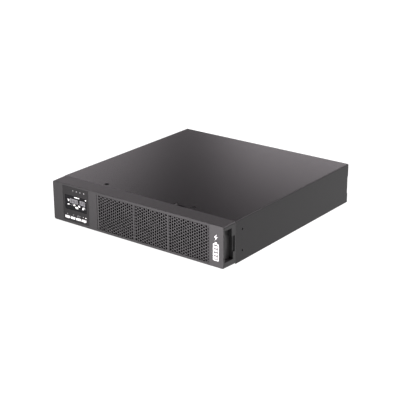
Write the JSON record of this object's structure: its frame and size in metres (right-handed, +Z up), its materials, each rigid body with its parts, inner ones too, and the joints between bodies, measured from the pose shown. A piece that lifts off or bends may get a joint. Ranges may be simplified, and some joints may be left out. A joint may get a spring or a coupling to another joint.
{
  "type": "uninterruptible power supply",
  "caption": "Two-rack-unit battery backup power supply with a perforated bezel, a pull-out display with push buttons, a sliding battery tray, rear fans, outlets and a mains inlet.",
  "frame": {"origin": "middle of the length and the width, on the surface that the underside stands on", "axes": "+Z up, -Y out of the front bezel, +Y to the rear panel, +X to the right as seen from the front"},
  "size_m": [0.438, 0.45, 0.0865],
  "materials": {
    "painted_steel": "fine matt powder coat",
    "bezel_plastic": "fine texture",
    "end_plate_plastic": "fine texture",
    "display_plastic": "satin",
    "screen_glass": "clear window over a dark panel",
    "button_white": "satin",
    "light_pipe": "clear",
    "circuit_board": "solder mask",
    "heat_sink_aluminium": "extruded",
    "zinc_steel": "zinc plated sheet",
    "winding": "enamelled copper wire",
    "socket_plastic": "moulded",
    "battery_case": "moulded",
    "capacitor_sleeve": "shrink sleeve",
    "terminal_plastic": "moulded"
  },
  "bodies": {
    "chassis": {"base_pan": "zinc_steel", "top_cover": "painted_steel", "front_panel": "zinc_steel", "rear_panel": "painted_steel", "cover_screw_left": "painted_steel", "cover_screw_right": "painted_steel", "battery_bay_wall": "zinc_steel", "battery_receptacle": "socket_plastic", "power_board": "circuit_board", "heat_sink_left": "heat_sink_aluminium", "heat_sink_right": "heat_sink_aluminium", "pfc_choke": "winding", "inverter_choke": "winding", "bus_capacitor_1": "capacitor_sleeve", "bus_capacitor_2": "capacitor_sleeve", "bus_capacitor_3": "capacitor_sleeve", "charger_transformer": "socket_plastic", "control_card": "circuit_board", "comms_board": "circuit_board", "serial_port": "zinc_steel", "usb_port": "zinc_steel", "epo_terminal": "terminal_plastic", "slot_cover": "painted_steel", "battery_port": "socket_plastic", "inlet_socket": "socket_plastic", "outlet_1": "socket_plastic", "outlet_2": "socket_plastic", "outlet_3": "socket_plastic", "outlet_4": "socket_plastic", "outlet_5": "socket_plastic", "outlet_6": "socket_plastic", "breaker_body": "socket_plastic", "fan_frame_left": "socket_plastic", "fan_frame_right": "socket_plastic"},
    "bezel": {"bezel_frame": "bezel_plastic", "grille_mesh": "bezel_plastic", "end_plate": "end_plate_plastic"},
    "latch_left": {"bezel_latch_left": "bezel_plastic"},
    "latch_right": {"bezel_latch_right": "bezel_plastic"},
    "display": {"display_housing": "display_plastic", "display_screen": "screen_glass", "display_board": "circuit_board", "indicator_light_pipe": "light_pipe"},
    "button_1": {"button_1": "button_white"},
    "button_2": {"button_2": "button_white"},
    "button_3": {"button_3": "button_white"},
    "button_4": {"button_4": "button_white"},
    "battery_pack": {"battery_tray": "zinc_steel", "battery_1": "battery_case", "battery_2": "battery_case", "battery_3": "battery_case", "battery_4": "battery_case", "battery_strap": "socket_plastic", "battery_plug": "socket_plastic", "thumb_screw_left": "zinc_steel", "thumb_screw_right": "zinc_steel"},
    "battery_handle": {"battery_handle": "zinc_steel"},
    "breaker_button": {"breaker_button": "button_white"},
    "fan_left": {"fan_rotor_left": "display_plastic"},
    "fan_right": {"fan_rotor_right": "display_plastic"}
  },
  "joints": [
    {"name": "bezel_pull", "type": "slide", "parent": "chassis", "child": "bezel", "axis": [0, -1, 0], "range_m": [0, 0.3]},
    {"name": "battery_slide", "type": "slide", "parent": "chassis", "child": "battery_pack", "axis": [0, -1, 0], "range_m": [0, 0.21]},
    {"name": "battery_handle_swing", "type": "hinge", "parent": "battery_pack", "child": "battery_handle", "pos_m": [0.055, -0.1932, 0.052], "axis": [-1, 0, 0], "range_deg": [0, 90]},
    {"name": "latch_left_press", "type": "slide", "parent": "bezel", "child": "latch_left", "axis": [1, 0, 0], "range_m": [0, 0.002], "stiffness_N_per_m": 1000, "springref_m": -0.002},
    {"name": "latch_right_press", "type": "slide", "parent": "bezel", "child": "latch_right", "axis": [-1, 0, 0], "range_m": [0, 0.002], "stiffness_N_per_m": 1000, "springref_m": -0.002},
    {"name": "display_pull", "type": "slide", "parent": "bezel", "child": "display", "axis": [0, -1, 0], "range_m": [0, 0.022]},
    {"name": "button_1_press", "type": "slide", "parent": "display", "child": "button_1", "axis": [0, 1, 0], "range_m": [0, 0.0008], "stiffness_N_per_m": 500, "springref_m": -0.001},
    {"name": "button_2_press", "type": "slide", "parent": "display", "child": "button_2", "axis": [0, 1, 0], "range_m": [0, 0.0008], "stiffness_N_per_m": 500, "springref_m": -0.001},
    {"name": "button_3_press", "type": "slide", "parent": "display", "child": "button_3", "axis": [0, 1, 0], "range_m": [0, 0.0008], "stiffness_N_per_m": 500, "springref_m": -0.001},
    {"name": "button_4_press", "type": "slide", "parent": "display", "child": "button_4", "axis": [0, 1, 0], "range_m": [0, 0.0008], "stiffness_N_per_m": 500, "springref_m": -0.001},
    {"name": "breaker_reset", "type": "slide", "parent": "chassis", "child": "breaker_button", "axis": [0, 1, 0], "range_m": [0, 0.003]},
    {"name": "fan_left_spin", "type": "hinge", "parent": "chassis", "child": "fan_left", "pos_m": [0.084, 0.2085, 0.04325], "axis": [0, 1, 0], "continuous": true},
    {"name": "fan_right_spin", "type": "hinge", "parent": "chassis", "child": "fan_right", "pos_m": [0.168, 0.2085, 0.04325], "axis": [0, 1, 0], "continuous": true}
  ],
  "couplings": [
    {"joint": "battery_slide", "follows": "bezel_pull", "ratio": 0.7}
  ]
}
